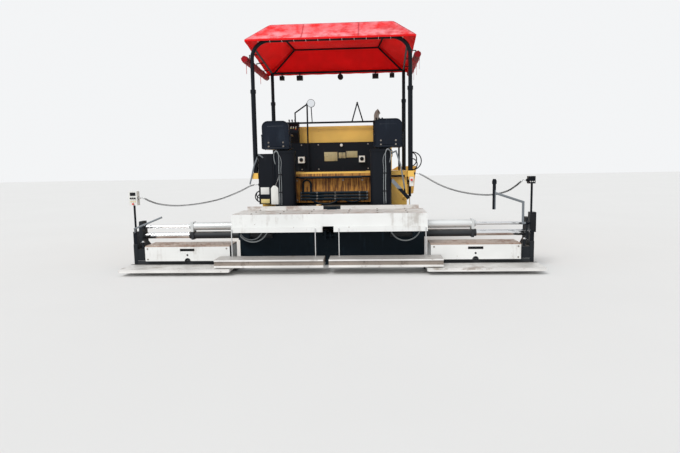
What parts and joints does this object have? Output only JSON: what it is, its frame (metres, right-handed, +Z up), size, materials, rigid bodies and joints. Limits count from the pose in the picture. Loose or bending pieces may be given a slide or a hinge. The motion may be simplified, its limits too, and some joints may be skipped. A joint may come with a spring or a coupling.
{
  "type": "asphalt paver",
  "caption": "Tracked asphalt paver with a folding hopper, slat conveyor, screw augers, a canopy over two turning seats, and a telescoping screed with walkways.",
  "frame": {"origin": "middle of the bounding box at the ground", "axes": "+Y forwards to the hopper, +X to the machine's right, +Z up"},
  "size_m": [6.3, 6.8, 4.05],
  "materials": {
    "yellow_paint": "satin",
    "black_paint": "satin",
    "white_paint": "satin",
    "dark_steel": "worn",
    "worn_steel": "worn",
    "track_steel": "worn",
    "bright_rod": "polished",
    "tread_steel": "worn",
    "engine_iron": "matt",
    "canopy_fabric": "matt",
    "seat_vinyl": "satin",
    "black_plastic": "satin",
    "cord_rubber": "satin"
  },
  "bodies": {
    "tractor": {"main_frame": "dark_steel", "track_left": "track_steel", "track_right": "track_steel", "track_frame_left": "dark_steel", "track_frame_right": "dark_steel", "engine_block": "engine_iron", "engine_hood": "yellow_paint", "exhaust": "worn_steel", "side_cabinet_left": "yellow_paint", "side_cabinet_right": "yellow_paint", "hopper_bed": "worn_steel", "slat_conveyor": "worn_steel", "tow_brackets": "dark_steel", "platform": "yellow_paint", "dash_console": "black_plastic", "handrails": "black_paint", "seat_columns": "black_paint", "rear_panel": "yellow_paint", "hydraulic_pipes": "black_paint", "auger_beam": "dark_steel", "canopy_posts": "black_paint"},
    "canopy": {"canopy_frame": "black_paint", "canopy_sheet": "canopy_fabric", "rolled_awnings": "canopy_fabric", "work_lamps": "black_plastic"},
    "push_beam": {"push_beam": "yellow_paint"},
    "screed": {"tow_arms": "dark_steel", "screed_body": "black_paint", "screed_deck": "white_paint", "central_walkway": "tread_steel", "curly_cord_left": "cord_rubber", "curly_cord_right": "cord_rubber"},
    "engine_door_left": {"engine_door_left": "yellow_paint"},
    "hopper_wing_left": {"hopper_wing_left": "yellow_paint"},
    "wing_barrel_left": {"wing_barrel_left": "black_paint"},
    "wing_rod_left": {"wing_rod_left": "bright_rod"},
    "push_roller_left": {"push_roller_left": "worn_steel"},
    "auger_left": {"auger_left": "worn_steel"},
    "seat_left": {"seat_left": "black_plastic", "seat_cushions_left": "seat_vinyl"},
    "lift_barrel_left": {"lift_barrel_left": "yellow_paint"},
    "lift_rod_left": {"lift_rod_left": "bright_rod"},
    "guide_stage_left": {"guide_stage_left": "white_paint"},
    "extension_left": {"extension_left": "white_paint", "extension_gear_left": "dark_steel", "control_stand_left": "black_paint"},
    "engine_door_right": {"engine_door_right": "yellow_paint"},
    "hopper_wing_right": {"hopper_wing_right": "yellow_paint"},
    "wing_barrel_right": {"wing_barrel_right": "black_paint"},
    "wing_rod_right": {"wing_rod_right": "bright_rod"},
    "push_roller_right": {"push_roller_right": "worn_steel"},
    "auger_right": {"auger_right": "worn_steel"},
    "seat_right": {"seat_right": "black_plastic", "seat_cushions_right": "seat_vinyl"},
    "lift_barrel_right": {"lift_barrel_right": "yellow_paint"},
    "lift_rod_right": {"lift_rod_right": "bright_rod"},
    "guide_stage_right": {"guide_stage_right": "white_paint"},
    "extension_right": {"extension_right": "white_paint", "extension_gear_right": "dark_steel", "control_stand_right": "black_paint"}
  },
  "joints": [
    {"name": "canopy_lowering", "type": "slide", "parent": "tractor", "child": "canopy", "axis": [0, 0, 1], "range_m": [-0.49, 0]},
    {"name": "push_beam_swivel", "type": "hinge", "parent": "tractor", "child": "push_beam", "pos_m": [0, 3.06, 0.565], "axis": [0, 0, 1], "range_deg": [-8, 8]},
    {"name": "screed_lift", "type": "hinge", "parent": "tractor", "child": "screed", "pos_m": [0, 0.7, 0.55], "axis": [-1, 0, 0], "range_deg": [0, 4.5], "deforming": ["curly_cord_left", "curly_cord_right"]},
    {"name": "engine_door_left", "type": "hinge", "parent": "tractor", "child": "engine_door_left", "pos_m": [-1.062, 0.884, 1.825], "axis": [0, 0, -1], "range_deg": [0, 90]},
    {"name": "hopper_wing_left", "type": "hinge", "parent": "tractor", "child": "hopper_wing_left", "pos_m": [-0.69, 1.975, 0.6], "axis": [0, 1, 0], "range_deg": [0, 60]},
    {"name": "wing_barrel_left", "type": "hinge", "parent": "tractor", "child": "wing_barrel_left", "pos_m": [-0.8, 2.35, 0.4], "axis": [0, 1, 0], "range_deg": [0, 48]},
    {"name": "wing_rod_left", "type": "slide", "parent": "wing_barrel_left", "child": "wing_rod_left", "axis": [-0.7071, 0, 0.7071], "range_m": [0, 0.19]},
    {"name": "push_roller_left", "type": "hinge", "parent": "push_beam", "child": "push_roller_left", "pos_m": [-0.4375, 3.3, 0.56], "axis": [1, 0, 0], "continuous": true},
    {"name": "auger_left", "type": "hinge", "parent": "tractor", "child": "auger_left", "pos_m": [-0.66, -1.74, 0.43], "axis": [1, 0, 0], "continuous": true},
    {"name": "seat_swivel_left", "type": "hinge", "parent": "tractor", "child": "seat_left", "pos_m": [-0.88, -1.8, 1.9], "axis": [0, 0, 1], "range_deg": [-25, 25]},
    {"name": "lift_barrel_left", "type": "hinge", "parent": "tractor", "child": "lift_barrel_left", "pos_m": [-1.36, -1.18, 1.3], "axis": [1, 0, 0], "range_deg": [0, 1.6]},
    {"name": "lift_rod_left", "type": "slide", "parent": "lift_barrel_left", "child": "lift_rod_left", "axis": [0, -0.1036, -0.9946], "range_m": [-0.1527, 0]},
    {"name": "guide_stage_left", "type": "slide", "parent": "screed", "child": "guide_stage_left", "axis": [1, 0, 0], "range_m": [0, 0.71]},
    {"name": "extension_left", "type": "slide", "parent": "screed", "child": "extension_left", "axis": [1, 0, 0], "range_m": [0, 1.42], "deforming": ["curly_cord_left"]},
    {"name": "engine_door_right", "type": "hinge", "parent": "tractor", "child": "engine_door_right", "pos_m": [1.062, 0.884, 1.825], "axis": [0, 0, 1], "range_deg": [0, 90]},
    {"name": "hopper_wing_right", "type": "hinge", "parent": "tractor", "child": "hopper_wing_right", "pos_m": [0.69, 1.975, 0.6], "axis": [0, -1, 0], "range_deg": [0, 60]},
    {"name": "wing_barrel_right", "type": "hinge", "parent": "tractor", "child": "wing_barrel_right", "pos_m": [0.8, 2.35, 0.4], "axis": [0, -1, 0], "range_deg": [0, 48]},
    {"name": "wing_rod_right", "type": "slide", "parent": "wing_barrel_right", "child": "wing_rod_right", "axis": [0.7071, 0, 0.7071], "range_m": [0, 0.19]},
    {"name": "push_roller_right", "type": "hinge", "parent": "push_beam", "child": "push_roller_right", "pos_m": [0.4375, 3.3, 0.56], "axis": [1, 0, 0], "continuous": true},
    {"name": "auger_right", "type": "hinge", "parent": "tractor", "child": "auger_right", "pos_m": [0.66, -1.74, 0.43], "axis": [1, 0, 0], "continuous": true},
    {"name": "seat_swivel_right", "type": "hinge", "parent": "tractor", "child": "seat_right", "pos_m": [0.88, -1.8, 1.9], "axis": [0, 0, 1], "range_deg": [-25, 25]},
    {"name": "lift_barrel_right", "type": "hinge", "parent": "tractor", "child": "lift_barrel_right", "pos_m": [1.36, -1.18, 1.3], "axis": [1, 0, 0], "range_deg": [0, 1.6]},
    {"name": "lift_rod_right", "type": "slide", "parent": "lift_barrel_right", "child": "lift_rod_right", "axis": [0, -0.1036, -0.9946], "range_m": [-0.1527, 0]},
    {"name": "guide_stage_right", "type": "slide", "parent": "screed", "child": "guide_stage_right", "axis": [-1, 0, 0], "range_m": [0, 0.71]},
    {"name": "extension_right", "type": "slide", "parent": "screed", "child": "extension_right", "axis": [-1, 0, 0], "range_m": [0, 1.42], "deforming": ["curly_cord_right"]}
  ],
  "couplings": [
    {"joint": "wing_barrel_left", "follows": "hopper_wing_left", "ratio": 0.79621},
    {"joint": "wing_rod_left", "follows": "hopper_wing_left", "m_per_rad": 0.17958},
    {"joint": "lift_barrel_left", "follows": "screed_lift", "ratio": 0.3498},
    {"joint": "lift_rod_left", "follows": "screed_lift", "m_per_rad": -1.9429},
    {"joint": "guide_stage_left", "follows": "extension_left", "ratio": 0.5},
    {"joint": "wing_barrel_right", "follows": "hopper_wing_right", "ratio": 0.79621},
    {"joint": "wing_rod_right", "follows": "hopper_wing_right", "m_per_rad": 0.17958},
    {"joint": "lift_barrel_right", "follows": "screed_lift", "ratio": 0.3498},
    {"joint": "lift_rod_right", "follows": "screed_lift", "m_per_rad": -1.9429},
    {"joint": "guide_stage_right", "follows": "extension_right", "ratio": 0.5}
  ]
}
